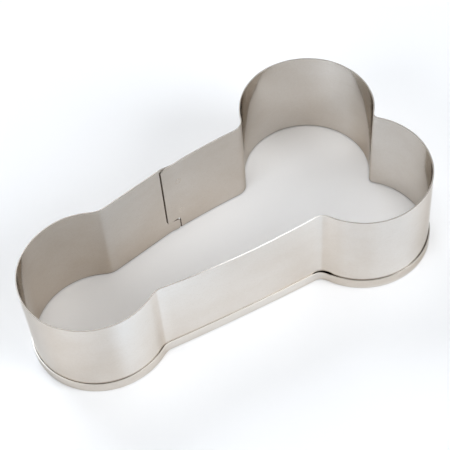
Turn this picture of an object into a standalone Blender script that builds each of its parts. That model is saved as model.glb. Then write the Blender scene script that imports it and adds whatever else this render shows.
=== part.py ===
"""A stainless steel cookie cutter: one hemmed strip bent round three lobes, lapped and spot welded.

It stands on its hem with the cutting edge up. +X runs from the single end lobe to the twin lobes,
and +Y is the side with the lap seam. All sizes are in metres.
"""

import math
from collections import namedtuple

import bmesh
import bpy
from mathutils import Matrix, Vector
from mathutils.geometry import interpolate_bezier

# The sheet and its hem
CUTTER_HEIGHT = 0.025
SHEET_THICKNESS = 0.0003
HEM_HEIGHT = 0.003
HEM_GAP = 0.0001

# The outline in plan, on the middle of the sheet at the foot
SHANK_LENGTH = 0.043
END_NECK_WIDTH = 0.0269
TWIN_NECK_WIDTH = 0.0334
CLEFT_REACH = 0.0276
CLEFT_OFFSET = 0.0011
END_LOBE_REACH = 0.0263
PLAIN_LOBE_REACH = 0.0208
SEAM_LOBE_REACH = 0.0217
PLAIN_SHANK_BOW = 0.00035
SEAM_SHANK_BOW = 0.00025
BUTT_TO_END_NECK = 0.0223
SEAM_KINK = 0.0013

# How much further each wall stands out at the cutting edge than at the foot
END_LOBE_LEAN = -0.0003
PLAIN_LOBE_LEAN = -0.00055
SEAM_LOBE_LEAN = 0.0004
PLAIN_SHANK_LEAN = 0.00075
SEAM_SHANK_LEAN = 0.0002
SEAM_KINK_LEAN = -0.00015

# How far from each corner of the outline its rounded bend starts
PLAIN_END_BEND = 0.0016
PLAIN_TWIN_BEND = 0.0022
CLEFT_BEND = 0.0016
SEAM_TWIN_BEND = 0.0032
SEAM_END_BEND = 0.002
SEAM_KINK_BEND = 0.0004

# The lap seam and the ends of the strip
LAP_LENGTH = 0.009
LAP_CLEARANCE = 0.00005
INNER_TAB_LENGTH = 0.0038
HEM_BUTT_GAP = 0.0003
TAB_RISE = 0.0012
NOTCH_CLEARANCE = 0.0002
TAB_TOP_RADIUS = 0.0012
TAB_FOOT_RADIUS = 0.0004
NOTCH_RADIUS = 0.0006
LIP_CORNER_RADIUS = 0.0005
TAB_TOP_DROP = 0.0003
FOOT_NICK = 0.0009
FOOT_NICK_RADIUS = 0.0003

# The spot welds through both layers of the lap
WELD_DIAMETER = 0.0018
WELD_SEAT_CLEARANCE = 0.00003
WELD_DIMPLE = 0.00003
WELD_RIM_ROUNDING = 0.00004
UPPER_WELD_BELOW_EDGE = 0.0068
LOWER_WELD_ABOVE_FOOT = 0.0068

# How finely the curved stretches are divided
ARC_STEP = math.radians(6)
LEAST_RUN_STEPS = 6
BEND_STEPS = 5
FOLD_STEPS = 5
CORNER_STEPS = 4
WELD_SIDES = 32

BEZIER_HANDLE_SHARE = 2 / 3
SHARP_ANGLE = math.radians(40)
CUTTER_OVERRUN = 0.001
CLOSE = 1e-7

Run = namedtuple("Run", "start end rise lean setback_before setback_after")


def outline_runs(lean_share):
    """The corners joined by seven arcs, anticlockwise from the outer seam; each bows out by its rise.

    The last run is the inner tab, past the butt of the hem. The wall kinks at the butt at its foot, and at
    the tab's end at its cutting edge.
    """
    plain_end = Vector((0, -END_NECK_WIDTH / 2))
    plain_twin = Vector((SHANK_LENGTH, -TWIN_NECK_WIDTH / 2))
    cleft = Vector((SHANK_LENGTH + CLEFT_REACH, CLEFT_OFFSET))
    seam_twin = Vector((SHANK_LENGTH, TWIN_NECK_WIDTH / 2))
    seam_end = Vector((0, END_NECK_WIDTH / 2))
    along_shank = (seam_twin - seam_end).normalized()
    outwards = Vector((-along_shank.y, along_shank.x))
    to_kink = BUTT_TO_END_NECK - INNER_TAB_LENGTH * lean_share
    kink = seam_end + along_shank * to_kink + outwards * (SEAM_KINK + SEAM_KINK_LEAN * lean_share)
    tab_end = kink + (seam_end - kink).normalized() * INNER_TAB_LENGTH * (1 - lean_share)
    butt = kink + (seam_twin - kink).normalized() * INNER_TAB_LENGTH * lean_share
    outer_seam = tab_end + outwards * layer_pitch()
    return [
        Run(outer_seam, seam_end, 0, 0, SEAM_KINK_BEND, SEAM_END_BEND),
        Run(seam_end, plain_end, END_LOBE_REACH, END_LOBE_LEAN, SEAM_END_BEND, PLAIN_END_BEND),
        Run(plain_end, plain_twin, PLAIN_SHANK_BOW, PLAIN_SHANK_LEAN, PLAIN_END_BEND, PLAIN_TWIN_BEND),
        Run(plain_twin, cleft, PLAIN_LOBE_REACH, PLAIN_LOBE_LEAN, PLAIN_TWIN_BEND, CLEFT_BEND),
        Run(cleft, seam_twin, SEAM_LOBE_REACH, SEAM_LOBE_LEAN, CLEFT_BEND, SEAM_TWIN_BEND),
        Run(seam_twin, butt, SEAM_SHANK_BOW, SEAM_SHANK_LEAN, SEAM_TWIN_BEND, SEAM_KINK_BEND),
        Run(butt, tab_end, 0, 0, SEAM_KINK_BEND, 0),
    ]


def layer_pitch():
    """The distance between the middles of the two layers of the lap."""
    return SHEET_THICKNESS + LAP_CLEARANCE


def half_turn(run, rise):
    """Half the angle that the arc turns through."""
    return 2 * math.atan2(2 * rise, (run.end - run.start).length)


def turned(vector, angle):
    """The plan vector turned clockwise by the angle."""
    return Matrix.Rotation(-angle, 2) @ vector


def arc_point(run, rise, share):
    """The point at this share of the arc, and the arc's heading there."""
    chord = run.end - run.start
    half = half_turn(run, rise)
    reach = share if abs(half) < CLOSE else math.sin(half * share) / math.sin(half)
    point = run.start + turned(chord * reach, half * (1 - share))
    return point, turned(chord.normalized(), half * (1 - 2 * share))


def run_points(run, lean_share):
    """Points along the run between its two bends, with the headings at its first and last point."""
    rise = run.rise + run.lean * lean_share
    half = half_turn(run, rise)
    chord_length = (run.end - run.start).length
    length = chord_length if abs(half) < CLOSE else chord_length * half / math.sin(half)
    first = run.setback_before / length
    last = 1 - run.setback_after / length
    steps = max(LEAST_RUN_STEPS, math.ceil(2 * half_turn(run, run.rise) / ARC_STEP))
    found = [arc_point(run, rise, first + (last - first) * k / steps) for k in range(steps + 1)]
    return [point for point, _ in found], found[0][1], found[-1][1]


def rounded_bend(before, heading_before, after, heading_after, setback):
    """The points of a smooth bend between two headings, without its two ends."""
    handle = BEZIER_HANDLE_SHARE * setback
    bend = interpolate_bezier(
        before,
        before + heading_before * handle,
        after - heading_after * handle,
        after,
        BEND_STEPS + 1,
    )
    return [point.to_2d() for point in bend[1:-1]]


def plan_path(lean_share):
    """The strip's middle in plan, from the outer seam to the inner end; share 0 is the foot, 1 the edge."""
    path = []
    last_heading = None
    for run in outline_runs(lean_share):
        points, heading, next_heading = run_points(run, lean_share)
        if path:
            path += rounded_bend(path[-1], last_heading, points[0], heading, run.setback_before)
        path += points
        last_heading = next_heading
    return path


def distances_along(points):
    """How far each point lies along the path."""
    distances = [0.0]
    for before, after in zip(points, points[1:]):
        distances.append(distances[-1] + (after - before).length)
    return distances


def outward_normals(path):
    """The unit vector that points out of the cutter at each point of the path."""
    normals = []
    for k in range(len(path)):
        heading = path[min(k + 1, len(path) - 1)] - path[max(k - 1, 0)]
        normals.append(Vector((heading.y, -heading.x)).normalized())
    return normals


def lap_start(path):
    """Where the lap starts on its inner layer, as the number of the point before it and a share."""
    distances = distances_along(path)
    return place_along(path, distances, distances[-1] - LAP_LENGTH)


def with_outer_lap(path, start, share):
    """The path with the outer layer of the lap put before it, a copy of the inner layer set outwards."""
    inner = [path[start].lerp(path[start + 1], share)] + path[start + 1 :]
    outer = [point + normal * layer_pitch() for point, normal in zip(inner, outward_normals(inner))]
    lap_heading = (outer[-1] - outer[-2]).normalized()
    heading = (path[1] - path[0]).normalized()
    return outer + rounded_bend(outer[-1], lap_heading, path[0], heading, SEAM_KINK_BEND) + path


def centred(foot, edge):
    """Both paths moved so that the middle of the whole cutter's plan is at the origin."""
    hem = [point + normal * hem_pitch() for point, normal in zip(foot, outward_normals(foot))]
    reach = hem + edge
    middle = Vector(
        [(max(p[axis] for p in reach) + min(p[axis] for p in reach)) / 2 for axis in range(2)]
    )
    return [point - middle for point in foot], [point - middle for point in edge]


def hem_pitch():
    """The distance between the middles of the wall and the folded lip."""
    return SHEET_THICKNESS + HEM_GAP


def section():
    """The middle of the hem and wall in section, from the lip's cut edge to the cutting edge.

    Points are (out, up). The bottom stretch of the fold is level, so the cutter has a flat foot.
    """
    radius = hem_pitch() / 2
    centre = SHEET_THICKNESS / 2 + radius * math.cos(math.pi / FOLD_STEPS / 2)
    angles = [math.pi * k / FOLD_STEPS for k in range(FOLD_STEPS + 1)]
    fold = [Vector((radius + radius * math.cos(a), centre - radius * math.sin(a))) for a in angles]
    return [Vector((hem_pitch(), HEM_HEIGHT))] + fold + [Vector((0, CUTTER_HEIGHT))]


def inside_of_fold(profile):
    """For each point of the section, where a face one unit inside the fold lies, mitred at the bends."""
    headings = [(after - before).normalized() for before, after in zip(profile, profile[1:])]
    sides = [Vector((heading.y, -heading.x)) for heading in headings]
    mitres = [sides[0]]
    for before, after in zip(sides, sides[1:]):
        mitres.append((before + after) / (1 + before.dot(after)))
    return mitres + [sides[-1]]


def place_along(points, distances, distance):
    """The place at this distance along the points, as the number of the point before it and a share."""
    k = 0
    while k < len(points) - 2 and distances[k + 1] < distance - CLOSE:
        k += 1
    return k, (distance - distances[k]) / (distances[k + 1] - distances[k])


def blank_corners(length, lap_end, fold_middle, top):
    """The flat blank's corners as (along, up, radius), anticlockwise, notched at each end of the hem."""
    hem_start = lap_end - INNER_TAB_LENGTH + HEM_BUTT_GAP / 2
    hem_end = length - INNER_TAB_LENGTH - HEM_BUTT_GAP / 2
    inner_notch = top - (CUTTER_HEIGHT - HEM_HEIGHT - TAB_RISE)
    outer_notch = inner_notch + NOTCH_CLEARANCE
    return [
        (hem_start, 0, LIP_CORNER_RADIUS),
        (hem_end, 0, LIP_CORNER_RADIUS),
        (hem_end, inner_notch, NOTCH_RADIUS),
        (length, inner_notch, TAB_FOOT_RADIUS),
        (length, top - TAB_TOP_DROP, TAB_TOP_RADIUS),
        (length - INNER_TAB_LENGTH, top, 0),
        (0, top, TAB_TOP_RADIUS),
        (0, outer_notch, TAB_FOOT_RADIUS),
        (hem_start, outer_notch, NOTCH_RADIUS),
        (hem_start, fold_middle + FOOT_NICK, FOOT_NICK_RADIUS),
        (hem_start + FOOT_NICK, fold_middle, 0),
        (hem_start, fold_middle - FOOT_NICK, FOOT_NICK_RADIUS),
    ]


def flat_blank(corners):
    """The blank as a flat plate of the sheet's thickness, centred on z = 0, with its corners rounded."""
    blank = bmesh.new()
    verts = [blank.verts.new((along, up, -SHEET_THICKNESS / 2)) for along, up, _ in corners]
    blank.faces.new(verts)
    for vert, (_, _, radius) in zip(verts, corners):
        if radius:
            bmesh.ops.bevel(
                blank,
                geom=[vert],
                offset=radius,
                offset_type="OFFSET",
                segments=CORNER_STEPS,
                profile=0.5,
                affect="VERTICES",
                clamp_overlap=True,
            )
    plate = bmesh.ops.extrude_face_region(blank, geom=blank.faces[:], use_keep_orig=True)
    raised = [piece for piece in plate["geom"] if isinstance(piece, bmesh.types.BMVert)]
    bmesh.ops.translate(blank, verts=raised, vec=(0, 0, SHEET_THICKNESS))
    return blank


def sliced(blank, places, normal):
    """Cuts an edge across the blank at each place along the normal."""
    for place in places:
        bmesh.ops.bisect_plane(
            blank,
            geom=blank.verts[:] + blank.edges[:] + blank.faces[:],
            dist=CLOSE,
            plane_co=normal * place,
            plane_no=normal,
        )


def wall_point(foot, edge, foot_normals, k, share, out, up):
    """The point of the formed strip at a share past station k, set outwards and up."""
    low = foot[k].lerp(foot[k + 1], share)
    high = edge[k].lerp(edge[k + 1], share)
    normal = foot_normals[k].lerp(foot_normals[k + 1], share).normalized()
    place = low.lerp(high, up / CUTTER_HEIGHT) + normal * out
    return Vector((place.x, place.y, up))


def formed_strip_mesh(foot, edge, lap_end):
    """The strip: the flat blank folded at its foot and bent round the outline."""
    profile = section()
    mitres = inside_of_fold(profile)
    heights = distances_along(profile)
    distances = distances_along(foot)
    normals = outward_normals(foot)
    fold_middle = (heights[1] + heights[-2]) / 2
    blank = flat_blank(blank_corners(distances[-1], lap_end, fold_middle, heights[-1]))
    sliced(blank, heights[1:-1], Vector((0, 1, 0)))
    sliced(blank, distances[1:-1], Vector((1, 0, 0)))
    for vert in blank.verts:
        row, row_share = place_along(profile, heights, vert.co.y)
        side = mitres[row].lerp(mitres[row + 1], row_share)
        out, up = profile[row].lerp(profile[row + 1], row_share) + side * vert.co.z
        k, share = place_along(foot, distances, vert.co.x)
        vert.co = wall_point(foot, edge, normals, k, share, out, up)
    bmesh.ops.recalc_face_normals(blank, faces=blank.faces[:])
    mesh = bpy.data.meshes.new("formed_strip")
    blank.to_mesh(mesh)
    blank.free()
    return mesh


def steel(name, colour, roughness):
    """Cold rolled stainless steel."""
    material = bpy.data.materials.new(name)
    material.use_nodes = True
    shader = material.node_tree.nodes["Principled BSDF"]
    shader.inputs["Base Color"].default_value = (*colour, 1)
    shader.inputs["Metallic"].default_value = 1
    shader.inputs["Roughness"].default_value = roughness
    return material


def add_object(name, mesh, material=None):
    """A new object in the scene, smooth apart from its sharp edges."""
    mesh.shade_smooth()
    mesh.set_sharp_from_angle(angle=SHARP_ANGLE)
    obj = bpy.data.objects.new(name, mesh)
    bpy.context.scene.collection.objects.link(obj)
    if material:
        mesh.materials.append(material)
    return obj


def round_slug(name, radius, depth, rounding=0):
    """A short round bar along its own Z, centred on its origin."""
    slug = bmesh.new()
    bmesh.ops.create_cone(
        slug, cap_ends=True, segments=WELD_SIDES, radius1=radius, radius2=radius, depth=depth
    )
    if rounding:
        rims = [edge for edge in slug.edges if abs(edge.verts[0].co.z - edge.verts[1].co.z) < CLOSE]
        bmesh.ops.bevel(
            slug, geom=rims, offset=rounding, segments=1, profile=0.5, affect="EDGES", material=-1
        )
    mesh = bpy.data.meshes.new(name)
    slug.to_mesh(mesh)
    slug.free()
    return mesh


def weld_place(foot, edge, height):
    """The middle of the lap at this height, between its two layers, and the way out of the cutter."""
    distances = distances_along(foot)
    k, share = place_along(foot, distances, distances[-1] - LAP_LENGTH / 2)
    normals = outward_normals(foot)
    place = wall_point(foot, edge, normals, k, share, layer_pitch() / 2, height)
    return place, normals[k].lerp(normals[k + 1], share).normalized().to_3d()


def add_weld(name, strip, place, outwards):
    """A weld slug, and the hole through both layers that it fills."""
    turn = outwards.to_track_quat("Z", "Y")
    thickness = SHEET_THICKNESS + layer_pitch()
    slug = add_object(
        name,
        round_slug(name, WELD_DIAMETER / 2, thickness - 2 * WELD_DIMPLE, WELD_RIM_ROUNDING),
        steel(name, (0.60, 0.58, 0.55), 0.42),
    )
    hole = add_object(
        name + "_hole",
        round_slug(
            name + "_hole", WELD_DIAMETER / 2 + WELD_SEAT_CLEARANCE, thickness + CUTTER_OVERRUN
        ),
    )
    hole.hide_render = True
    hole.display_type = "WIRE"
    for obj in (slug, hole):
        obj.location = place
        obj.rotation_euler = turn.to_euler()
    cut = strip.modifiers.new(name + "_hole", "BOOLEAN")
    cut.object = hole
    cut.operation = "DIFFERENCE"
    cut.solver = "EXACT"


def main():
    for obj in list(bpy.data.objects):
        bpy.data.objects.remove(obj)
    inner_foot = plan_path(0)
    start, share = lap_start(inner_foot)
    foot = with_outer_lap(inner_foot, start, share)
    edge = with_outer_lap(plan_path(1), start, share)
    foot, edge = centred(foot, edge)
    lap_points = len(inner_foot) - start
    lap_end = distances_along(foot)[lap_points - 1]
    strip = add_object(
        "formed_strip",
        formed_strip_mesh(foot, edge, lap_end),
        steel("formed_strip", (0.66, 0.64, 0.61), 0.28),
    )
    for name, height in (
        ("upper_spot_weld", CUTTER_HEIGHT - UPPER_WELD_BELOW_EDGE),
        ("lower_spot_weld", LOWER_WELD_ABOVE_FOOT),
    ):
        place, outwards = weld_place(foot, edge, height)
        add_weld(name, strip, place, outwards)
    strip.modifiers.new("even_shading", "WEIGHTED_NORMAL").keep_sharp = True


main()
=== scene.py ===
"""The looks of the cookie cutter: its hemmed stainless strip, its two spot welds, and a plain pale studio."""

import bisect
import math
from collections import namedtuple

import bmesh
import bpy
from mathutils import Matrix, Vector
from mathutils.geometry import interpolate_bezier


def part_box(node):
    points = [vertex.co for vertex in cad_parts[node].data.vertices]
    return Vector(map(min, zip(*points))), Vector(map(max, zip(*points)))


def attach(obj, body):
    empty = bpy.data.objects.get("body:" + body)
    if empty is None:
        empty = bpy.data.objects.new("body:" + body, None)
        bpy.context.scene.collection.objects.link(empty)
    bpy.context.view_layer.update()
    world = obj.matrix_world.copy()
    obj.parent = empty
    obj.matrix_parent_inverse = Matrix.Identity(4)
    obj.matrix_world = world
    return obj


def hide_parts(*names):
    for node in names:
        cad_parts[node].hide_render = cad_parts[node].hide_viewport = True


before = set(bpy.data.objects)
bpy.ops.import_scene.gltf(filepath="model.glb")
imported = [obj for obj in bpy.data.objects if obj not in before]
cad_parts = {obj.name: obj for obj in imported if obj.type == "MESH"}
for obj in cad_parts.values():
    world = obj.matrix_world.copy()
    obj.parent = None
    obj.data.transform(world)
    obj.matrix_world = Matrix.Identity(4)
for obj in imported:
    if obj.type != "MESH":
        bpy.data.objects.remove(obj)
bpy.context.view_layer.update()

# The sheet and its hem, in metres, as the solids have them
SHEET_THICKNESS = 0.0003
HEM_HEIGHT = 0.003
HEM_GAP = 0.0001
CUTTER_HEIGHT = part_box("formed_strip")[1].z

# The outline in plan, on the middle of the sheet at the foot
SHANK_LENGTH = 0.043
END_NECK_WIDTH = 0.0269
TWIN_NECK_WIDTH = 0.0334
CLEFT_REACH = 0.0276
CLEFT_OFFSET = 0.0011
END_LOBE_REACH = 0.0263
PLAIN_LOBE_REACH = 0.0208
SEAM_LOBE_REACH = 0.0217
PLAIN_SHANK_BOW = 0.00035
SEAM_SHANK_BOW = 0.00025
BUTT_TO_END_NECK = 0.0223
SEAM_KINK = 0.0013

# How much further each wall stands out at the cutting edge than at the foot
END_LOBE_LEAN = -0.0003
PLAIN_LOBE_LEAN = -0.00055
SEAM_LOBE_LEAN = 0.0004
PLAIN_SHANK_LEAN = 0.00075
SEAM_SHANK_LEAN = 0.0002
SEAM_KINK_LEAN = -0.00015

# How far from each corner of the outline its rounded bend starts
PLAIN_END_BEND = 0.0016
PLAIN_TWIN_BEND = 0.0022
CLEFT_BEND = 0.0016
SEAM_TWIN_BEND = 0.0032
SEAM_END_BEND = 0.002
SEAM_KINK_BEND = 0.0004

# The lap seam and the ends of the strip
LAP_LENGTH = 0.009
LAP_CLEARANCE = 0.00003
INNER_TAB_LENGTH = 0.0038
HEM_BUTT_GAP = 0.0002
LIP_BUTT_GAP = 0.00002
TAB_RISE = 0.0012
NOTCH_CLEARANCE = 0.0002
SLIT_LENGTH = 0.0028
SLIT_BELOW_TAB = 0.0004
SLIT_END_BELOW_TAB = 0.00015
JOGGLE_SHARE = 0.67
TAB_TOP_RADIUS = 0.0012
TAB_FOOT_RADIUS = 0.0004
NOTCH_RADIUS = 0.0006
LIP_CORNER_RADIUS = 0.0005
TAB_TOP_DROP = 0.0003
OUTER_TOP_DROP = 0.0004
FOOT_NICK = 0.0006
FOOT_NICK_RADIUS = 0.0002

# How finely the strip is divided
STATION_STEP = 0.0005
LEAST_STATIONS = 6
BEND_STATIONS = 10
LIP_ROWS = 3
FOLD_ROWS = 12
WALL_ROWS = 12
CORNER_STEPS = 5

# How far the handles of a bend's curve reach, as a share of its setback
BEZIER_HANDLE_SHARE = 2 / 3

# A distance, in metres, or an angle, in radians, that is as good as none
CLOSE = 1e-7

# One arc of the outline: its ends, how far it rises over its chord at the foot, how much further at the
# cutting edge, and how far from each end its rounded bend starts
Run = namedtuple("Run", "name start end rise lean setback_before setback_after")


def outline_runs(lean_share):
    """The arcs of the outline from the outer seam round to the inner tab's end; 0 is the foot, 1 the edge."""
    plain_end = Vector((0, -END_NECK_WIDTH / 2))
    plain_twin = Vector((SHANK_LENGTH, -TWIN_NECK_WIDTH / 2))
    cleft = Vector((SHANK_LENGTH + CLEFT_REACH, CLEFT_OFFSET))
    seam_twin = Vector((SHANK_LENGTH, TWIN_NECK_WIDTH / 2))
    seam_end = Vector((0, END_NECK_WIDTH / 2))
    along_shank = (seam_twin - seam_end).normalized()
    outwards = Vector((-along_shank.y, along_shank.x))
    to_kink = BUTT_TO_END_NECK - INNER_TAB_LENGTH * lean_share
    kink = seam_end + along_shank * to_kink + outwards * (SEAM_KINK + SEAM_KINK_LEAN * lean_share)
    tab_end = kink + (seam_end - kink).normalized() * INNER_TAB_LENGTH * (1 - lean_share)
    butt = kink + (seam_twin - kink).normalized() * INNER_TAB_LENGTH * lean_share
    outer_seam = tab_end + outwards * layer_pitch()
    return [
        Run("end_shank", outer_seam, seam_end, 0, 0, SEAM_KINK_BEND, SEAM_END_BEND),
        Run("end_lobe", seam_end, plain_end, END_LOBE_REACH, END_LOBE_LEAN, SEAM_END_BEND, PLAIN_END_BEND),
        Run(
            "plain_shank", plain_end, plain_twin, PLAIN_SHANK_BOW, PLAIN_SHANK_LEAN,
            PLAIN_END_BEND, PLAIN_TWIN_BEND,
        ),
        Run(
            "plain_lobe", plain_twin, cleft, PLAIN_LOBE_REACH, PLAIN_LOBE_LEAN,
            PLAIN_TWIN_BEND, CLEFT_BEND,
        ),
        Run("seam_lobe", cleft, seam_twin, SEAM_LOBE_REACH, SEAM_LOBE_LEAN, CLEFT_BEND, SEAM_TWIN_BEND),
        Run(
            "seam_shank", seam_twin, butt, SEAM_SHANK_BOW, SEAM_SHANK_LEAN,
            SEAM_TWIN_BEND, SEAM_KINK_BEND,
        ),
        Run("tab", butt, tab_end, 0, 0, SEAM_KINK_BEND, 0),
    ]


def layer_pitch():
    """The distance between the middles of the two layers of the lap."""
    return SHEET_THICKNESS + LAP_CLEARANCE


def half_turn(run, rise):
    """Half the angle that the arc turns through."""
    return 2 * math.atan2(2 * rise, (run.end - run.start).length)


def arc_length(run, rise):
    """The arc's whole length."""
    chord = (run.end - run.start).length
    half = half_turn(run, rise)
    return chord if abs(half) < CLOSE else chord * half / math.sin(half)


def turned(vector, angle):
    """The plan vector turned clockwise by the angle."""
    return Matrix.Rotation(-angle, 2) @ vector


def arc_point(run, rise, share):
    """The point at this share of the arc, and the arc's heading there."""
    chord = run.end - run.start
    half = half_turn(run, rise)
    reach = share if abs(half) < CLOSE else math.sin(half * share) / math.sin(half)
    point = run.start + turned(chord * reach, half * (1 - share))
    return point, turned(chord.normalized(), half * (1 - 2 * share))


def rounded_bend(before, heading_before, after, heading_after, setback):
    """The points of a smooth bend between two headings, without its two ends."""
    handle = BEZIER_HANDLE_SHARE * setback
    bend = interpolate_bezier(
        before,
        before + heading_before * handle,
        after - heading_after * handle,
        after,
        BEND_STATIONS + 1,
    )
    return [point.to_2d() for point in bend[1:-1]]


def plan_path(lean_share):
    """The strip's middle in plan, from the outer seam to the tab's end, and each run's place in it."""
    path = []
    spans = {}
    last_heading = None
    for run, at_foot in zip(outline_runs(lean_share), outline_runs(0)):
        rise = run.rise + run.lean * lean_share
        length = arc_length(run, rise)
        first = run.setback_before / length
        last = 1 - run.setback_after / length
        steps = max(LEAST_STATIONS, math.ceil(arc_length(at_foot, at_foot.rise) / STATION_STEP))
        found = [arc_point(run, rise, first + (last - first) * k / steps) for k in range(steps + 1)]
        points = [point for point, _ in found]
        if path:
            path += rounded_bend(path[-1], last_heading, points[0], found[0][1], run.setback_before)
        spans[run.name] = (len(path), len(path) + steps)
        path += points
        last_heading = found[-1][1]
    return path, spans


def distances_along(points):
    """How far each point lies along the path."""
    distances = [0.0]
    for before, after in zip(points, points[1:]):
        distances.append(distances[-1] + (after - before).length)
    return distances


def outward_normals(path):
    """The unit vector that points out of the cutter at each point of the path."""
    normals = []
    for k in range(len(path)):
        heading = path[min(k + 1, len(path) - 1)] - path[max(k - 1, 0)]
        normals.append(Vector((heading.y, -heading.x)).normalized())
    return normals


def place_along(distances, distance):
    """The place at this distance, as the number of the point before it and a share."""
    k = min(max(bisect.bisect_right(distances, distance + CLOSE) - 1, 0), len(distances) - 2)
    return k, (distance - distances[k]) / (distances[k + 1] - distances[k])


def with_outer_lap(path, start, share):
    """The path with the outer layer of the lap put before it, a copy of the inner layer set outwards."""
    inner = [path[start].lerp(path[start + 1], share)] + path[start + 1 :]
    outer = [point + normal * layer_pitch() for point, normal in zip(inner, outward_normals(inner))]
    lap_heading = (outer[-1] - outer[-2]).normalized()
    heading = (path[1] - path[0]).normalized()
    return outer + rounded_bend(outer[-1], lap_heading, path[0], heading, SEAM_KINK_BEND) + path


# The strip's middle in plan at its foot and at its cutting edge; then, at the foot, the distances along it,
# its outward normals, where each run starts and ends, and where the lap's outer layer ends
Strip = namedtuple("Strip", "foot edge distances normals spans lap_end")


def hem_pitch():
    """The distance between the middles of the wall and the folded lip."""
    return SHEET_THICKNESS + HEM_GAP


def strip_paths():
    """The strip's foot and edge in plan, set where the solid stands."""
    inner_foot, spans = plan_path(0)
    distances = distances_along(inner_foot)
    start, share = place_along(distances, distances[-1] - LAP_LENGTH)
    foot = with_outer_lap(inner_foot, start, share)
    edge = with_outer_lap(plan_path(1)[0], start, share)
    hem_reach = hem_pitch() + SHEET_THICKNESS / 2
    hem = [point + normal * hem_reach for point, normal in zip(foot, outward_normals(foot))]
    reach = hem + edge
    low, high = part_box("formed_strip")
    shift = Vector([(low[axis] + high[axis]) / 2 for axis in range(2)])
    shift -= Vector([(max(p[axis] for p in reach) + min(p[axis] for p in reach)) / 2 for axis in range(2)])
    foot = [point + shift for point in foot]
    edge = [point + shift for point in edge]
    distances = distances_along(foot)
    added = len(foot) - len(inner_foot)
    spans = {name: (distances[a + added], distances[b + added]) for name, (a, b) in spans.items()}
    lap_end = distances[len(inner_foot) - start - 1]
    return Strip(foot, edge, distances, outward_normals(foot), spans, lap_end)


# How far the lip's cut edge stands out or in from the hem's even gap, as (run, share along it, distance):
# along the shanks it almost shuts the gap
LIP_STANDS_OFF = [
    ("end_shank", 0.9, -0.00009),
    ("end_lobe", 0.0, -0.00004),
    ("end_lobe", 0.06, -0.00007),
    ("end_lobe", 0.4, -0.00007),
    ("end_lobe", 0.47, -0.00003),
    ("end_lobe", 0.55, -0.00005),
    ("end_lobe", 0.6, -0.00008),
    ("end_lobe", 0.66, -0.00004),
    ("end_lobe", 0.74, -0.00003),
    ("end_lobe", 0.82, -0.00005),
    ("end_lobe", 0.88, -0.00008),
    ("end_lobe", 0.94, -0.00006),
    ("end_lobe", 1.0, -0.00001),
    ("plain_shank", 0.03, -0.00009),
    ("plain_shank", 0.975, -0.00009),
    ("plain_shank", 1.0, 0.00005),
    ("plain_lobe", 0.0, 0.00025),
    ("plain_lobe", 0.03, 0.00002),
    ("plain_lobe", 0.06, -0.00005),
    ("plain_lobe", 0.12, -0.00006),
    ("plain_lobe", 0.24, -0.00007),
    ("plain_lobe", 0.35, -0.00008),
    ("plain_lobe", 0.4, -0.00004),
    ("plain_lobe", 0.5, -0.00001),
    ("plain_lobe", 0.8, -0.00005),
    ("plain_lobe", 1.0, 0.0001),
    ("seam_lobe", 0.0, 0.0001),
    ("seam_lobe", 0.1, -0.00007),
    ("seam_lobe", 0.5, -0.00003),
    ("seam_lobe", 0.9, -0.00007),
    ("seam_lobe", 1.0, 0.0001),
    ("seam_shank", 0.04, -0.00009),
]

# The lip leaves the even gap as this power of the way from the fold to its cut edge
LIP_OPENING_POWER = 1.5

# Painted reflection: how bright the sheet is drawn half way up the wall, in upright bands that stand in for
# reflected light, as (run, share along it, brightness); the material runs it from DULLEST to BRIGHTEST
PAINTED_REFLECTION = [
    ("end_shank", 0.0, 0.2),
    ("end_shank", 0.85, 0.42),
    ("end_shank", 1.07, 0.5),
    ("end_shank", 1.13, 0.0),
    ("end_lobe", 0.3, 0.05),
    ("end_lobe", 0.37, 0.8),
    ("end_lobe", 0.5, 1.4),
    ("end_lobe", 0.63, 0.15),
    ("end_lobe", 0.8, 0.3),
    ("end_lobe", 0.87, 1.0),
    ("end_lobe", 0.97, 0.7),
    ("end_lobe", 1.019, 0.25),
    ("end_lobe", 1.029, 0.85),
    ("plain_shank", 0.05, 0.7),
    ("plain_shank", 0.5, 0.6),
    ("plain_shank", 0.85, 0.45),
    ("plain_shank", 1.04, 0.65),
    ("plain_shank", 1.06, 0.1),
    ("plain_lobe", 0.03, 0.15),
    ("plain_lobe", 0.08, 0.35),
    ("plain_lobe", 0.15, 0.38),
    ("plain_lobe", 0.23, 0.62),
    ("plain_lobe", 0.34, 0.85),
    ("plain_lobe", 0.45, 0.6),
    ("plain_lobe", 0.55, 0.4),
    ("plain_lobe", 0.9, 0.55),
    ("seam_lobe", 0.2, 0.4),
    ("seam_lobe", 0.3, 0.75),
    ("seam_lobe", 0.5, 0.35),
    ("seam_lobe", 0.8, 0.45),
    ("seam_shank", 0.0, 0.1),
    ("tab", 1.0, 0.2),
]

# Painted shade: how much darker the wall is drawn at its foot than at its cutting edge, in the same form
FOOT_PAINTED_SHADE = [
    ("end_shank", 0.0, 0.8),
    ("end_shank", 0.9, 1.4),
    ("end_lobe", 0.1, 0.8),
    ("end_lobe", 0.3, 0.4),
    ("end_lobe", 0.5, 0.0),
    ("end_lobe", 0.75, 0.2),
    ("end_lobe", 0.88, 0.95),
    ("plain_shank", 0.0, 0.95),
    ("plain_shank", 0.5, 0.3),
    ("plain_shank", 0.95, 0.75),
    ("plain_lobe", 0.2, 0.3),
    ("plain_lobe", 0.4, 0.0),
    ("plain_lobe", 0.6, 0.0),
    ("plain_lobe", 0.9, 0.3),
    ("seam_lobe", 0.1, 1.5),
    ("seam_lobe", 0.3, 1.1),
    ("seam_lobe", 0.6, 0.0),
    ("seam_shank", 0.0, 0.3),
    ("seam_shank", 1.0, 0.8),
]
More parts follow.
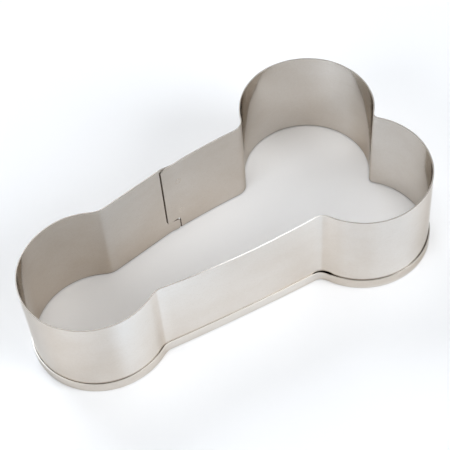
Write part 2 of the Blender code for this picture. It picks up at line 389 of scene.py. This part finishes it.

# Painted reflection on the lip, in the same form: bright at the end lobe's middle and along the plain shank
LIP_PAINTED_REFLECTION = [
    ("end_lobe", 0.3, 0.25),
    ("end_lobe", 0.5, 0.8),
    ("end_lobe", 0.72, 0.25),
    ("end_lobe", 1.0, 0.25),
    ("plain_shank", 0.05, 0.6),
    ("plain_shank", 0.97, 0.6),
    ("plain_lobe", 0.05, 0.0),
]

# Painted highlight on the cutting edge, in the same form, from 0 for none to 1 for full: along the plain
# shank
EDGE_PAINTED_HIGHLIGHT = [
    ("plain_shank", 0.1, 0.0),
    ("plain_shank", 0.55, 1.0),
    ("plain_shank", 0.97, 1.0),
    ("plain_lobe", 0.02, 0.0),
]

# Painted highlight added to the lip's cut edge, over the lip's painted reflection
LIP_EDGE_PAINTED_HIGHLIGHT = 0.25

# How far the walls stray from their true curves, as (distance, wavelength along, phase in radians)
WALL_WAVES = [(0.000022, 0.0173, 0.4), (0.000014, 0.0091, 2.1), (0.000008, 0.0047, 4.0)]

# How much of the stray grows evenly up the wall; the rest comes mostly near the free cutting edge
EVEN_STRAY_SHARE = 0.35

# Cut edges are rounded by a light deburring, with a row of points close inside the two long ones
CUT_EDGE_ROUNDING = 0.00005
CUT_EDGE_SEGMENTS = 2
EDGE_SUPPORT = 0.00012

# Edges shorter than the first are closed up, and those that turn further than the second are shaded sharp
LEAST_EDGE = 0.00001
SHARP_ANGLE = math.radians(60)


def fold_radius():
    """The radius of the middle of the sheet round the fold."""
    return hem_pitch() / 2


def fold_centre():
    """How high above the foot the fold's centre lies."""
    return fold_radius() + SHEET_THICKNESS / 2


def lip_length():
    """The flat stretch of the lip, from its cut edge to the fold."""
    return HEM_HEIGHT - fold_centre()


def fold_end():
    """How far from the lip's cut edge, up the blank, the fold ends and the wall starts."""
    return lip_length() + math.pi * fold_radius()


def section_point(rise, stand_off):
    """Where the blank's middle lies in section at this rise up the blank, and the way into the fold."""
    if rise < lip_length():
        left = (lip_length() - rise) / lip_length()
        slope = -LIP_OPENING_POWER * stand_off / lip_length() * left ** (LIP_OPENING_POWER - 1)
        heading = Vector((slope, -1)).normalized()
        point = Vector((hem_pitch() + stand_off * left**LIP_OPENING_POWER, HEM_HEIGHT - rise))
        return point, Vector((heading.y, -heading.x))
    if rise < fold_end():
        turn = (rise - lip_length()) / fold_radius()
        outwards = Vector((math.cos(turn), -math.sin(turn)))
        centre = Vector((fold_radius(), fold_centre()))
        return centre + outwards * fold_radius(), -outwards
    return Vector((0, fold_centre() + rise - fold_end())), Vector((1, 0))


def blank_height():
    """The blank's whole height, from the lip's cut edge to the cutting edge."""
    return fold_end() + CUTTER_HEIGHT - fold_centre()


def tab_foot():
    """The rise of the inner tab's foot from the lip's cut edge."""
    return blank_height() - (CUTTER_HEIGHT - HEM_HEIGHT - TAB_RISE)


def slit_floor(from_butt):
    """The rise of the lower side of the slit that lets the outer end's foot come in under the tab."""
    climb = (SLIT_BELOW_TAB - SLIT_END_BELOW_TAB) * from_butt / SLIT_LENGTH
    return tab_foot() - SLIT_BELOW_TAB + climb


def outer_hem_start(lap_end):
    """How far along the strip the hem of its outer end starts, at the butt."""
    return lap_end - INNER_TAB_LENGTH + HEM_BUTT_GAP / 2


def blank_corners(length, lap_end):
    """The flat blank's corners as (along, up, radius), anticlockwise, notched at each end of the hem."""
    top = blank_height()
    fold_middle = (lip_length() + fold_end()) / 2
    hem_start = outer_hem_start(lap_end)
    hem_end = length - INNER_TAB_LENGTH - HEM_BUTT_GAP / 2
    outer_notch = tab_foot() + NOTCH_CLEARANCE
    lip_reach = (HEM_BUTT_GAP - LIP_BUTT_GAP) / 2
    return [
        (hem_start - lip_reach, 0, LIP_CORNER_RADIUS),
        (hem_end + lip_reach, 0, LIP_CORNER_RADIUS),
        (hem_end + lip_reach, lip_length(), 0),
        (hem_end, fold_end(), 0),
        (hem_end, tab_foot(), NOTCH_RADIUS),
        (length, tab_foot(), TAB_FOOT_RADIUS),
        (length, top, TAB_TOP_RADIUS),
        (0, top, TAB_TOP_RADIUS),
        (0, outer_notch, TAB_FOOT_RADIUS),
        (hem_start + SLIT_LENGTH, outer_notch, 0),
        (hem_start + SLIT_LENGTH, slit_floor(SLIT_LENGTH), 0),
        (hem_start, slit_floor(0), NOTCH_RADIUS),
        (hem_start, fold_middle + FOOT_NICK, FOOT_NICK_RADIUS),
        (hem_start + FOOT_NICK, fold_middle, 0),
        (hem_start - lip_reach, fold_middle - FOOT_NICK, FOOT_NICK_RADIUS),
    ]


def flat_blank(corners):
    """The blank as a flat plate of the sheet's thickness, its corners rounded and its cut edges deburred."""
    blank = bmesh.new()
    verts = [blank.verts.new((along, up, -SHEET_THICKNESS / 2)) for along, up, _ in corners]
    blank.faces.new(verts)
    for vert, (_, _, radius) in zip(verts, corners):
        if radius:
            bmesh.ops.bevel(
                blank, geom=[vert], offset=radius, offset_type="OFFSET", segments=CORNER_STEPS,
                profile=0.5, material=-1, affect="VERTICES", clamp_overlap=True,
            )
    plate = bmesh.ops.extrude_face_region(blank, geom=blank.faces[:], use_keep_orig=True)
    raised = [piece for piece in plate["geom"] if isinstance(piece, bmesh.types.BMVert)]
    bmesh.ops.translate(blank, verts=raised, vec=(0, 0, SHEET_THICKNESS))
    bmesh.ops.recalc_face_normals(blank, faces=blank.faces[:])
    flat = [edge for edge in blank.edges if abs(edge.verts[0].co.z - edge.verts[1].co.z) < CLOSE]
    bmesh.ops.bevel(
        blank, geom=flat, offset=CUT_EDGE_ROUNDING, offset_type="OFFSET", segments=CUT_EDGE_SEGMENTS,
        profile=0.5, material=-1, affect="EDGES", clamp_overlap=True,
    )
    return blank


def sliced(blank, places, normal):
    """Cuts an edge across the blank at each place along the normal."""
    for place in places:
        bmesh.ops.bisect_plane(
            blank,
            geom=blank.verts[:] + blank.edges[:] + blank.faces[:],
            dist=CLOSE,
            plane_co=normal * place,
            plane_no=normal,
        )


def close_short_edges(blank):
    """Closes up short edges, each connected group to its centre, so that their order doesn't matter."""
    short = [edge for edge in blank.edges if edge.calc_length() < LEAST_EDGE]
    bmesh.ops.collapse(blank, edges=short, uvs=False)


def row_places():
    """The rises at which the blank is divided lengthwise: rows on the lip, round the fold and up the wall."""
    lip = [lip_length() * k / LIP_ROWS for k in range(1, LIP_ROWS)]
    fold = [lip_length() + (fold_end() - lip_length()) * k / FOLD_ROWS for k in range(FOLD_ROWS + 1)]
    wall = [fold_end() + (blank_height() - fold_end()) * k / WALL_ROWS for k in range(1, WALL_ROWS)]
    return [EDGE_SUPPORT] + lip + fold + wall + [blank_height() - EDGE_SUPPORT]


def eased(share):
    """The share with a soft start and end."""
    return share * share * (3 - 2 * share)


def keyed(strip, keys, distance):
    """The value at this distance along the strip, eased between the keys before and after it."""
    places = [(1 - share) * strip.spans[name][0] + share * strip.spans[name][1] for name, share, _ in keys]
    k = bisect.bisect_right(places, distance)
    if k in (0, len(keys)):
        return keys[max(k - 1, 0)][2]
    low, high = keys[k - 1][2], keys[k][2]
    return low + (high - low) * eased((distance - places[k - 1]) / (places[k] - places[k - 1]))


def wall_stray(distance, up):
    """How far the wall strays outwards there: least at the stiff hem, most at the free cutting edge."""
    waves = sum(size * math.sin(math.tau * distance / span + phase) for size, span, phase in WALL_WAVES)
    share = up / CUTTER_HEIGHT
    return waves * share * (EVEN_STRAY_SHARE + (1 - EVEN_STRAY_SHARE) * share)


def foot_joggle(strip, along, rise):
    """How far the outer end's foot, below its slit, comes in so that both hems meet flush at the butt."""
    from_butt = along - outer_hem_start(strip.lap_end)
    if rise > slit_floor(from_butt) + CLOSE:
        return 0
    share = min(max(from_butt / SLIT_LENGTH, 0), 1)
    return layer_pitch() * eased(min((1 - share) / JOGGLE_SHARE, 1))


def end_dip(strip, along, up):
    """How much lower the sheet lies near each end, in the lap: nothing at the foot, most at the top."""
    from_tab_end = min((strip.distances[-1] - along) / INNER_TAB_LENGTH, 1)
    past_tab_end = min(max(LAP_LENGTH - along, 0) / INNER_TAB_LENGTH, 1)
    drop = TAB_TOP_DROP * eased(1 - from_tab_end) + OUTER_TOP_DROP * eased(past_tab_end)
    return drop * up / CUTTER_HEIGHT


def formed_point(strip, along, rise, inset):
    """Where a point of the flat blank goes when the strip is folded and bent round the outline."""
    point, into_fold = section_point(rise, keyed(strip, LIP_STANDS_OFF, along))
    out, up = point + into_fold * inset
    k, share = place_along(strip.distances, along)
    low = strip.foot[k].lerp(strip.foot[k + 1], share)
    high = strip.edge[k].lerp(strip.edge[k + 1], share)
    normal = strip.normals[k].lerp(strip.normals[k + 1], share).normalized()
    out += wall_stray(along, up) - foot_joggle(strip, along, rise)
    place = low.lerp(high, up / CUTTER_HEIGHT) + normal * out
    return Vector((place.x, place.y, up - end_dip(strip, along, up)))


def add_piece(name, shape, materials):
    """A finished piece of the cutter from its bmesh, riding on the one body."""
    mesh = bpy.data.meshes.new(name)
    shape.to_mesh(mesh)
    shape.free()
    for material in materials:
        mesh.materials.append(material)
    mesh.shade_smooth()
    mesh.set_sharp_from_angle(angle=SHARP_ANGLE)
    piece = bpy.data.objects.new(name, mesh)
    bpy.context.scene.collection.objects.link(piece)
    shading = piece.modifiers.new("even_shading", "WEIGHTED_NORMAL")
    shading.keep_sharp = True
    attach(piece, "root")
    return piece


# The strip's materials in their order on the piece, and how upright the normal of a flat face is at least
SHEET, CUT_EDGE, SEAM_EDGE = range(3)
FLAT_FACE = 0.99


def finish_of(strip, face):
    """Which of the strip's materials a face of the flat blank has."""
    if abs(face.normal.z) > FLAT_FACE:
        return SHEET
    along, rise, _ = face.calc_center_median()
    at_seam = along > strip.distances[-1] - INNER_TAB_LENGTH - HEM_BUTT_GAP or along < strip.lap_end
    on_upright = EDGE_SUPPORT < rise < blank_height() - TAB_TOP_RADIUS
    return SEAM_EDGE if at_seam and on_upright else CUT_EDGE


def wall_painted_reflection_and_shade(strip, along, rise):
    """The wall's painted reflection as the keys say half way up, with painted shade towards the foot."""
    height = max((rise - fold_end()) / (blank_height() - fold_end()), 0)
    return keyed(strip, PAINTED_REFLECTION, along) + keyed(strip, FOOT_PAINTED_SHADE, along) * (height - 1 / 2)


def add_formed_strip(strip, steels):
    """The cutter's one strip: the blank sliced, marked with its flat place and painted light, folded and
    bent.
    """
    blank = flat_blank(blank_corners(strip.distances[-1], strip.lap_end))
    sliced(blank, strip.distances[1:-1], Vector((1, 0, 0)))
    sliced(blank, row_places(), Vector((0, 1, 0)))
    close_short_edges(blank)
    blank.normal_update()
    for face in blank.faces:
        face.material_index = finish_of(strip, face)
    blank_place = blank.verts.layers.float_vector.new("blank_place")
    painted_reflection_and_shade = blank.verts.layers.float.new("painted_reflection_and_shade")
    painted_edge_highlight = blank.verts.layers.float.new("painted_edge_highlight")
    for vert in blank.verts:
        vert[blank_place] = vert.co
        on_lip = vert.co.y < lip_length()
        along, rise, _ = vert.co
        # Painted reflection and shade on the lip and wall, and a painted highlight on the cut edges
        vert[painted_reflection_and_shade] = keyed(strip, LIP_PAINTED_REFLECTION, along) if on_lip else wall_painted_reflection_and_shade(strip, along, rise)
        vert[painted_edge_highlight] = LIP_EDGE_PAINTED_HIGHLIGHT + vert[painted_reflection_and_shade] if on_lip else keyed(strip, EDGE_PAINTED_HIGHLIGHT, along)
        vert.co = formed_point(strip, *vert.co)
    bmesh.ops.recalc_face_normals(blank, faces=blank.faces[:])
    piece = add_piece("hemmed_strip", blank, steels)
    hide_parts("formed_strip")


# The spot welds, pressed by round electrodes: a raised rim round a shallow dimple, on both faces of the lap
WELD_RADIUS = 0.0009
WELD_PROUD = 0.000012
WELD_RIM_WIDTH = 0.00022
WELD_DIMPLE = 0.00002
WELD_MIDDLE_DIMPLE = 0.000005
WELD_ROUNDING = 0.00004
WELD_ROUNDING_SEGMENTS = 2
WELD_SIDES = 64


def add_spot_weld(name, strip, steel):
    """One spot weld through both layers of the lap, where the solid slug stands."""
    low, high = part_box(name)
    rise = fold_end() - fold_centre() + (low.z + high.z) / 2
    on_tab = strip.distances[-1] - LAP_LENGTH / 2
    outer = formed_point(strip, LAP_LENGTH / 2, rise, 0)
    inner = formed_point(strip, on_tab, rise, 0)
    forwards = formed_point(strip, on_tab + WELD_RADIUS, rise, 0) - inner
    upwards = formed_point(strip, on_tab, rise + WELD_RADIUS, 0) - inner
    outwards = forwards.cross(upwards).normalized()
    depth = SHEET_THICKNESS + (outer - inner).dot(outwards) + 2 * WELD_PROUD
    weld = bmesh.new()
    bmesh.ops.create_cone(
        weld, cap_ends=True, segments=WELD_SIDES, radius1=WELD_RADIUS, radius2=WELD_RADIUS, depth=depth
    )
    caps = [face for face in weld.faces if abs(face.normal.z) > FLAT_FACE]
    rims = [edge for face in caps for edge in face.edges]
    for sunk in (0, WELD_DIMPLE, WELD_MIDDLE_DIMPLE):
        bmesh.ops.inset_individual(weld, faces=caps, thickness=WELD_RIM_WIDTH, depth=-sunk)
    bmesh.ops.bevel(
        weld, geom=rims, offset=WELD_ROUNDING, offset_type="OFFSET", segments=WELD_ROUNDING_SEGMENTS,
        profile=0.5, material=-1, affect="EDGES", clamp_overlap=True,
    )
    turn = outwards.to_track_quat("Z", "Y").to_matrix().to_4x4()
    bmesh.ops.transform(weld, matrix=Matrix.Translation((outer + inner) / 2) @ turn, verts=weld.verts[:])
    piece = add_piece(name + "_nugget", weld, [steel])
    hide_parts(name)


def srgb(code):
    """A colour given as sRGB hex, as the linear colour that shaders take."""
    shares = [int(code[k : k + 2], 16) / 255 for k in (1, 3, 5)]
    linear = [share / 12.92 if share <= 0.04045 else ((share + 0.055) / 1.055) ** 2.4 for share in shares]
    return (*linear, 1)


def add_node(tree, kind, values=None, links=None, **settings):
    """A new node with its settings, the values of its inputs, and the links into them."""
    node = tree.nodes.new(kind)
    for name, value in settings.items():
        setattr(node, name, value)
    for socket, value in (values or {}).items():
        node.inputs[socket].default_value = value
    for socket, source in (links or {}).items():
        tree.links.new(source, node.inputs[socket])
    return node


def new_material(name):
    """A material with its node tree, and its Principled shader."""
    material = bpy.data.materials.new(name)
    material.use_nodes = True
    return material, material.node_tree, material.node_tree.nodes["Principled BSDF"]


# Patterns are sized in millimetres, and the piece's own coordinates are in metres
MM_PER_METRE = 1000

# The patterns of the strip, as their sizes along it and across it, and the grain of the welds
ROLL_LINES = (14, 0.45)
HANDLING_HAZE = (11, 7)
HAIRLINES = (16, 0.35)
HAIRLINE_TURN = math.radians(8)
SHEET_GRAIN = (0.55, 0.45)
TORN_EDGE = (1.2, 0.3)
SEAM_SHADE_MOTTLE = (1.5, 0.8)
WELD_GRAIN = 0.2

# How much the sheet's thickness is stretched in the patterns, so that its two faces don't share them
FACE_SHIFT = 9000

# The stretch of a noise's values that is spread over a material's range: for broad patterns, for fine ones,
# for those of the cut edges, and for the few peaks that show as hairlines
BROAD_NOISE = {"From Min": 0.3, "From Max": 0.7}
FINE_NOISE = {"From Min": 0.25, "From Max": 0.75}
EDGE_NOISE = {"From Min": 0.35, "From Max": 0.65}
HAIRLINE_PEAKS = {"From Min": 0.74, "From Max": 0.8}

# The painted brightness of the dullest and the brightest sheet, how far haze and grain change it, and how
# much of the fold's painted shade shows at the foot
DULLEST = -1
BRIGHTEST = 1.5
HAZE_TONE = 0.12
GRAIN_TONE = 0.08
FOLD_PAINTED_SHADE = 0.9

# The roughness of each finish, and what roll lines and hairlines change on the sheet
SHEET_ROUGHNESS = {"To Min": 0.09, "To Max": 0.15}
SHEARED_ROUGHNESS = {"To Min": 0.38, "To Max": 0.5}
SEAM_EDGE_ROUGHNESS = {"To Min": 0.35, "To Max": 0.6}
WELD_ROUGHNESS = {"To Min": 0.18, "To Max": 0.28}
ROLL_LINE_ROUGHNESS = 0.02
HAIRLINE_ROUGHNESS = 0.1

# How far the tears change the wear of a cut edge, and how deep the roll lines and tears are, in metres
TEAR_TONE = 0.07
ROLL_LINE_DEPTH = 0.000004
TEAR_DEPTH = 0.00002


def strip_noise(tree, size, detail, turn=0):
    """Noise stretched to a size along and across the strip, in millimetres, unlike on its two faces.

    One Mapping turns the place and the next stretches it, because one alone stretches before it turns.
    """
    along, across = size
    place = add_node(tree, "ShaderNodeAttribute", attribute_name="blank_place").outputs["Vector"]
    turned_place = add_node(tree, "ShaderNodeMapping", {"Rotation": (0, 0, turn)}, {"Vector": place})
    stretched = add_node(
        tree, "ShaderNodeMapping", {"Scale": (MM_PER_METRE / along, MM_PER_METRE / across, FACE_SHIFT)},
        {"Vector": turned_place.outputs["Vector"]},
    )
    noise = add_node(
        tree, "ShaderNodeTexNoise", {"Scale": 1, "Detail": detail, "Roughness": 0.6},
        {"Vector": stretched.outputs["Vector"]},
    )
    return noise.outputs["Fac"]


def sheet_brightness(tree, haze, grain):
    """The sheet's brightness, as a share from dullest to brightest: painted light and shade, a little
    mottled.
    """
    painted_reflection_and_shade = add_node(tree, "ShaderNodeAttribute", attribute_name="painted_reflection_and_shade")
    patches = add_node(
        tree, "ShaderNodeMapRange", {**BROAD_NOISE, "To Min": -HAZE_TONE, "To Max": HAZE_TONE},
        {"Value": haze},
    )
    specks = add_node(
        tree, "ShaderNodeMapRange", {**FINE_NOISE, "To Min": -GRAIN_TONE, "To Max": GRAIN_TONE},
        {"Value": grain},
    )
    mottle = add_node(
        tree, "ShaderNodeMath", links={0: patches.outputs["Result"], 1: specks.outputs["Result"]},
        operation="ADD",
    )
    bright = add_node(
        tree, "ShaderNodeMath", links={0: painted_reflection_and_shade.outputs["Fac"], 1: mottle.outputs["Value"]},
        operation="ADD",
    )
    share = add_node(
        tree, "ShaderNodeMapRange", {"From Min": DULLEST, "From Max": BRIGHTEST, "To Min": 0, "To Max": 1},
        {"Value": bright.outputs["Value"]},
    )
    return share.outputs["Result"]


def fold_painted_shade(tree):
    """Painted shade on the fold: full from the foot up to the wall, and nothing on the lip or up the wall."""
    place = add_node(tree, "ShaderNodeAttribute", attribute_name="blank_place")
    rise = add_node(tree, "ShaderNodeSeparateXYZ", links={"Vector": place.outputs["Vector"]}).outputs["Y"]
    above_foot = add_node(
        tree, "ShaderNodeMapRange",
        {
            "From Min": fold_end() - 2 * fold_radius(), "From Max": fold_end() - fold_radius(),
            "To Min": 0, "To Max": FOLD_PAINTED_SHADE,
        },
        {"Value": rise},
    )
    below_wall = add_node(
        tree, "ShaderNodeMapRange",
        {"From Min": fold_end(), "From Max": fold_end() + fold_radius() / 2, "To Min": 1, "To Max": 0},
        {"Value": rise},
    )
    dull = add_node(
        tree, "ShaderNodeMath", links={0: above_foot.outputs["Result"], 1: below_wall.outputs["Result"]},
        operation="MULTIPLY",
    )
    return dull.outputs["Value"]


def sheet_roughness(tree, haze, lines, scratches):
    """The sheet's roughness: more in hazy patches and on hairlines, and a little either way on roll lines."""
    patches = add_node(
        tree, "ShaderNodeMapRange", {**BROAD_NOISE, **SHEET_ROUGHNESS}, {"Value": haze}
    )
    streaks = add_node(
        tree, "ShaderNodeMapRange",
        {**BROAD_NOISE, "To Min": -ROLL_LINE_ROUGHNESS, "To Max": ROLL_LINE_ROUGHNESS}, {"Value": lines},
    )
    hairlines = add_node(
        tree, "ShaderNodeMapRange", {**HAIRLINE_PEAKS, "To Min": 0, "To Max": HAIRLINE_ROUGHNESS},
        {"Value": scratches},
    )
    rolled = add_node(
        tree, "ShaderNodeMath", links={0: patches.outputs["Result"], 1: streaks.outputs["Result"]},
        operation="ADD",
    )
    scratched = add_node(
        tree, "ShaderNodeMath", links={0: rolled.outputs["Value"], 1: hairlines.outputs["Result"]},
        operation="ADD",
    )
    return scratched.outputs["Value"]


def bright_annealed_stainless():
    """Cold rolled stainless strip, annealed bright.

    Rolling between polished rolls and annealing without scale leaves a silvery, faintly warm sheet that
    mirrors softly. Upright bands of painted reflection run round it, brighter towards the cutting edge, with
    painted shade towards the foot. Fine lines run along the strip from the rolls, handling leaves a slight
    haze in patches, and forming and stacking leave a few hairline scratches. The outside of the fold at the
    foot is darkened with painted shade. The roll lines, the grain and the scratches are really under 0.1 mm
    wide, and are drawn broader so that they show.
    """
    material, tree, shader = new_material("bright_annealed_stainless")
    shader.inputs["Metallic"].default_value = 1
    shader.inputs["Specular Tint"].default_value = srgb("#DDD8D2")
    lines = strip_noise(tree, ROLL_LINES, detail=2)
    haze = strip_noise(tree, HANDLING_HAZE, detail=4)
    grain = strip_noise(tree, SHEET_GRAIN, detail=1)
    scratches = strip_noise(tree, HAIRLINES, detail=0, turn=HAIRLINE_TURN)
    # The sheet's tone follows its painted reflection and shade, mottled by haze and grain
    tone = add_node(
        tree, "ShaderNodeMix", {"A": srgb("#B4A38F"), "B": srgb("#EFEFEE")},
        {"Factor": sheet_brightness(tree, haze, grain)}, data_type="RGBA",
    )
    # Painted shade darkens the outside of the fold at the foot
    fold_shaded = add_node(
        tree, "ShaderNodeMix", {"B": srgb("#8D867E")},
        {"Factor": fold_painted_shade(tree), "A": tone.outputs["Result"]}, data_type="RGBA",
    )
    tree.links.new(fold_shaded.outputs["Result"], shader.inputs["Base Color"])
    tree.links.new(sheet_roughness(tree, haze, lines, scratches), shader.inputs["Roughness"])
    bump = add_node(tree, "ShaderNodeBump", {"Strength": 0.3, "Distance": ROLL_LINE_DEPTH}, {"Height": lines})
    tree.links.new(bump.outputs["Normal"], shader.inputs["Normal"])
    return material


def sheared_stainless():
    """The strip's cut edges: stainless steel as the slitting knives leave it.

    The knife leaves a burnished band and a torn, matt one, so the thin edge is a dull grey that glints
    unevenly along its length. A painted highlight brightens it along the plain shank and on the lip's cut
    edge. The tears are really under 0.1 mm long, and are drawn longer so that they show.
    """
    material, tree, shader = new_material("sheared_stainless")
    shader.inputs["Metallic"].default_value = 1
    torn = strip_noise(tree, TORN_EDGE, detail=3)
    # Painted highlight along the plain shank's cutting edge and the lip's cut edge
    edge_highlight = add_node(tree, "ShaderNodeAttribute", attribute_name="painted_edge_highlight")
    tears = add_node(
        tree, "ShaderNodeMapRange", {**EDGE_NOISE, "To Min": -TEAR_TONE, "To Max": TEAR_TONE}, {"Value": torn}
    )
    bright = add_node(
        tree, "ShaderNodeMath", links={0: edge_highlight.outputs["Fac"], 1: tears.outputs["Result"]}, operation="ADD"
    )
    tone = add_node(
        tree, "ShaderNodeMix", {"A": srgb("#968F87"), "B": srgb("#E4E0DA")},
        {"Factor": bright.outputs["Value"]}, data_type="RGBA",
    )
    tree.links.new(tone.outputs["Result"], shader.inputs["Base Color"])
    roughness = add_node(
        tree, "ShaderNodeMapRange", {**EDGE_NOISE, **SHEARED_ROUGHNESS}, {"Value": torn}
    )
    tree.links.new(roughness.outputs["Result"], shader.inputs["Roughness"])
    bump = add_node(tree, "ShaderNodeBump", {"Strength": 0.2, "Distance": TEAR_DEPTH}, {"Height": torn})
    tree.links.new(bump.outputs["Normal"], shader.inputs["Normal"])
    return material


def seam_edge_painted_shade():
    """The cut edges that meet in the lap seam: sheared stainless steel darkened to brown with painted shade.

    The painted shade stands in for the shadow in the narrow joint and draws the seam as a dark brown line. It
    is mottled in broad blotches.
    """
    material, tree, shader = new_material("seam_edge_painted_shade")
    shader.inputs["Metallic"].default_value = 0.5
    seam_mottle = strip_noise(tree, SEAM_SHADE_MOTTLE, detail=2)
    thickness = add_node(
        tree, "ShaderNodeMapRange", {**EDGE_NOISE, "To Min": 0, "To Max": 1}, {"Value": seam_mottle}
    )
    # Painted shade: dark brown standing in for the shadow in the seam's joint
    tone = add_node(
        tree, "ShaderNodeMix", {"A": srgb("#3E3026"), "B": srgb("#655647")},
        {"Factor": thickness.outputs["Result"]}, data_type="RGBA",
    )
    tree.links.new(tone.outputs["Result"], shader.inputs["Base Color"])
    roughness = add_node(
        tree, "ShaderNodeMapRange", {**EDGE_NOISE, **SEAM_EDGE_ROUGHNESS}, {"Value": seam_mottle}
    )
    tree.links.new(roughness.outputs["Result"], shader.inputs["Roughness"])
    return material


def pressed_weld_nugget():
    """A resistance weld's face: stainless steel melted between copper electrodes and pressed flat.

    The heat leaves it matt and faintly straw coloured, with a fine grain that is drawn coarser than it is.
    """
    material, tree, shader = new_material("pressed_weld_nugget")
    shader.inputs["Metallic"].default_value = 1
    place = add_node(tree, "ShaderNodeTexCoord").outputs["Object"]
    grain = add_node(
        tree, "ShaderNodeTexNoise", {"Scale": MM_PER_METRE / WELD_GRAIN, "Detail": 2}, {"Vector": place}
    ).outputs["Fac"]
    tone = add_node(
        tree, "ShaderNodeMix", {"A": srgb("#D2CAC0"), "B": srgb("#DAD2C8")}, {"Factor": grain},
        data_type="RGBA",
    )
    tree.links.new(tone.outputs["Result"], shader.inputs["Base Color"])
    roughness = add_node(
        tree, "ShaderNodeMapRange", {**BROAD_NOISE, **WELD_ROUGHNESS}, {"Value": grain}
    )
    tree.links.new(roughness.outputs["Result"], shader.inputs["Roughness"])
    return material


# The studio: a pale floor and a pale surround
FLOOR_SIDE = 3
FLOOR_COLOUR = "#F6F6F6"
FLOOR_ROUGHNESS = 0.7
SURROUND_COLOUR = "#F4F9FF"

# The surround's light low down and high up, and the sines of the elevations between which it fades
LOW_SURROUND_LIGHT = 0.54
HIGH_SURROUND_LIGHT = 0.22
FADE_START = 0.1
FADE_END = 0.85

# Soft panels round and above the cutter, as (name, power in watts, colour, azimuth, elevation)
PANEL_SIDE = 0.5
PANEL_DISTANCE = 0.9
PANELS = [
    ("key_panel", 5.8, "#F4F9FF", 38, 28),
    ("left_panel", 3.4, "#F4F9FF", -75, 28),
    ("back_panel", 3.8, "#F4F9FF", 180, 38),
    ("overhead_panel", 1.2, "#FFF2E2", 0, 85),
]


def add_floor():
    """The floor: matt white laminate."""
    material, tree, shader = new_material("pale_floor")
    shader.inputs["Base Color"].default_value = srgb(FLOOR_COLOUR)
    shader.inputs["Roughness"].default_value = FLOOR_ROUGHNESS
    floor = bmesh.new()
    bmesh.ops.create_grid(floor, x_segments=1, y_segments=1, size=FLOOR_SIDE / 2)
    mesh = bpy.data.meshes.new("floor")
    floor.to_mesh(mesh)
    floor.free()
    mesh.materials.append(material)
    obj = bpy.data.objects.new("floor", mesh)
    bpy.context.scene.collection.objects.link(obj)


def add_panel_light(name, power, colour, azimuth, elevation):
    """A square soft light aimed at the cutter; azimuth 0 is in front of it, on the -Y side."""
    data = bpy.data.lights.new(name, "AREA")
    data.shape = "SQUARE"
    data.size = PANEL_SIDE
    data.energy = power
    data.color = srgb(colour)[:3]
    light = bpy.data.objects.new(name, data)
    bpy.context.scene.collection.objects.link(light)
    way = direction(azimuth, elevation)
    light.location = Vector((0, 0, CUTTER_HEIGHT / 2)) + way * PANEL_DISTANCE
    light.rotation_euler = way.to_track_quat("Z", "Y").to_euler()


def direction(azimuth, elevation):
    """The unit vector from the object towards an eye or light at these angles, in degrees."""
    turn, lift = math.radians(azimuth), math.radians(elevation)
    return Vector((math.sin(turn) * math.cos(lift), -math.cos(turn) * math.cos(lift), math.sin(lift)))


def add_surround():
    """A pale surround: white to the eye and in mirrors, and dimmer as a light."""
    world = bpy.data.worlds.new("surround")
    world.use_nodes = True
    tree = world.node_tree
    ray = add_node(tree, "ShaderNodeLightPath")
    mirrored = add_node(
        tree, "ShaderNodeMath",
        links={0: ray.outputs["Is Glossy Ray"], 1: ray.outputs["Is Transmission Ray"]},
        operation="MAXIMUM",
    )
    seen = add_node(
        tree, "ShaderNodeMath", links={0: ray.outputs["Is Camera Ray"], 1: mirrored.outputs["Value"]},
        operation="MAXIMUM",
    )
    way = add_node(tree, "ShaderNodeTexCoord").outputs["Generated"]
    height = add_node(tree, "ShaderNodeSeparateXYZ", links={"Vector": way}).outputs["Z"]
    light = add_node(
        tree, "ShaderNodeMapRange",
        {
            "From Min": FADE_START, "From Max": FADE_END,
            "To Min": LOW_SURROUND_LIGHT, "To Max": HIGH_SURROUND_LIGHT,
        },
        {"Value": height},
    )
    strength = add_node(
        tree, "ShaderNodeMix", {"B": 1},
        {"Factor": seen.outputs["Value"], "A": light.outputs["Result"]},
    )
    tree.links.new(strength.outputs["Result"], tree.nodes["Background"].inputs["Strength"])
    tree.nodes["Background"].inputs["Color"].default_value = srgb(SURROUND_COLOUR)
    bpy.context.scene.world = world


# The camera, placed to match the photograph's outline, in degrees and metres, with its lens in millimetres
CAMERA_AZIMUTH = -27.9103
CAMERA_ELEVATION = 52.0573
CAMERA_ROLL = -5.3194
CAMERA_DISTANCE = 0.2801466
CAMERA_AIM = Vector((0.0023995, 0.0008672, 0.0125))
CAMERA_LENS = 91.738
CAMERA_CLIP_START = 0.01


def add_camera():
    """The camera at the photograph's angle."""
    data = bpy.data.cameras.new("camera")
    data.lens = CAMERA_LENS
    data.clip_start = CAMERA_CLIP_START
    camera = bpy.data.objects.new("camera", data)
    bpy.context.scene.collection.objects.link(camera)
    back = direction(CAMERA_AZIMUTH, CAMERA_ELEVATION)
    turn = back.to_track_quat("Z", "Y").to_matrix() @ Matrix.Rotation(math.radians(CAMERA_ROLL), 3, "Z")
    camera.matrix_world = Matrix.Translation(CAMERA_AIM + back * CAMERA_DISTANCE) @ turn.to_4x4()
    bpy.context.scene.camera = camera


def main():
    """The cutter, its floor and surround, its lights and the camera."""
    strip = strip_paths()
    add_formed_strip(strip, [bright_annealed_stainless(), sheared_stainless(), seam_edge_painted_shade()])
    nugget = pressed_weld_nugget()
    for name in ("upper_spot_weld", "lower_spot_weld"):
        add_spot_weld(name, strip, nugget)
    add_floor()
    add_surround()
    for panel in PANELS:
        add_panel_light(*panel)
    add_camera()
    bpy.context.scene.view_settings.view_transform = "Standard"


main()
